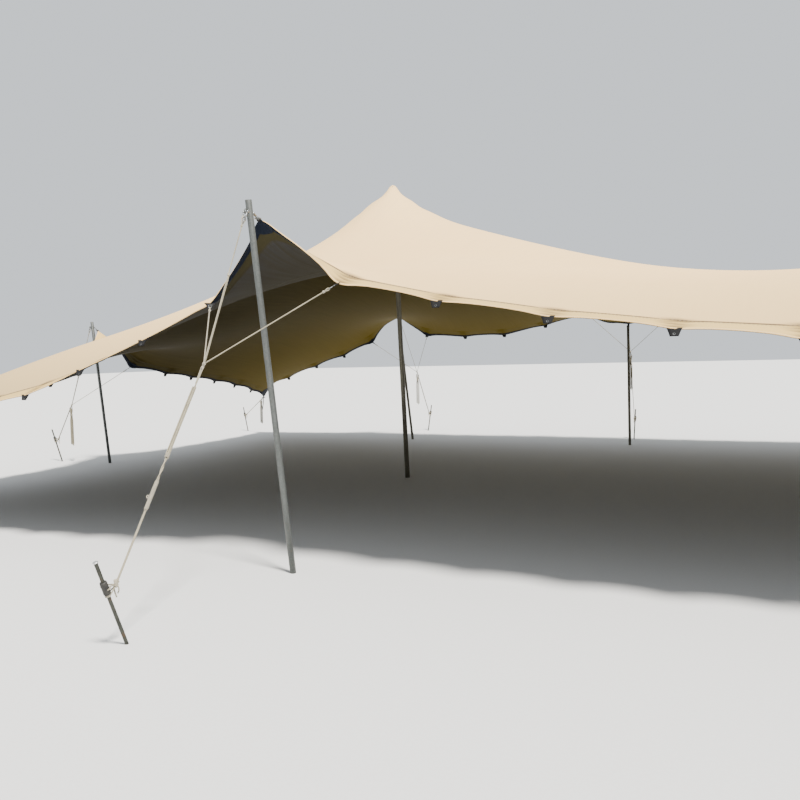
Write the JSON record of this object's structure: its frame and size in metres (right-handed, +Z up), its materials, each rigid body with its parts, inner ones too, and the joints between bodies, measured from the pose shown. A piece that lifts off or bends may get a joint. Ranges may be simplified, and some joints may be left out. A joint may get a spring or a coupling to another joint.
{
  "type": "stretch tent",
  "caption": "Rectangular stretch tent: one elastic cream sheet raised on centre and edge poles and tied down by bridled guy ropes to leaning steel stakes.",
  "frame": {"origin": "centre of the tent's bounding box, at ground level", "axes": "+X along the length, +Y from the front edge to the back edge, +Z up"},
  "size_m": [21.6934, 12.2888, 3.743],
  "materials": {
    "canopy_fabric": "matt coated stretch fabric, cream above, dark olive brown below",
    "galvanised_tube": "galvanised, dull",
    "link_steel": "galvanised, weathered",
    "guy_rope": "laid rope, off-white",
    "stake_steel": "dark bar steel, scuffed"
  },
  "bodies": {
    "root": {"canopy_panel_1": "canopy_fabric", "canopy_panel_2": "canopy_fabric", "canopy_panel_3": "canopy_fabric", "canopy_panel_4": "canopy_fabric", "canopy_panel_5": "canopy_fabric", "canopy_panel_6": "canopy_fabric", "canopy_panel_7": "canopy_fabric", "canopy_panel_8": "canopy_fabric", "canopy_panel_9": "canopy_fabric", "centre_pole_left": "galvanised_tube", "centre_pole_right": "galvanised_tube", "front_pole_left": "galvanised_tube", "front_pole_right": "galvanised_tube", "back_pole_outer_left": "galvanised_tube", "back_pole_outer_right": "galvanised_tube", "back_pole_inner_left": "galvanised_tube", "back_pole_inner_right": "galvanised_tube", "end_pole_left": "galvanised_tube", "end_pole_right": "galvanised_tube", "tip_link_left": "link_steel", "tip_link_right": "link_steel", "front_guy_left": "guy_rope", "front_guy_right": "guy_rope", "back_guy_outer_left": "guy_rope", "back_guy_outer_right": "guy_rope", "back_guy_inner_left": "guy_rope", "back_guy_inner_right": "guy_rope", "end_guy_left": "guy_rope", "end_guy_right": "guy_rope", "front_corner_guy_left": "guy_rope", "front_corner_guy_right": "guy_rope", "back_corner_guy_left": "guy_rope", "back_corner_guy_right": "guy_rope", "front_stake_left": "stake_steel", "front_stake_right": "stake_steel", "back_stake_outer_left": "stake_steel", "back_stake_outer_right": "stake_steel", "back_stake_inner_left": "stake_steel", "back_stake_inner_right": "stake_steel", "end_stake_left": "stake_steel", "end_stake_right": "stake_steel", "front_corner_stake_left": "stake_steel", "front_corner_stake_right": "stake_steel", "back_corner_stake_left": "stake_steel", "back_corner_stake_right": "stake_steel"}
  },
  "joints": []
}
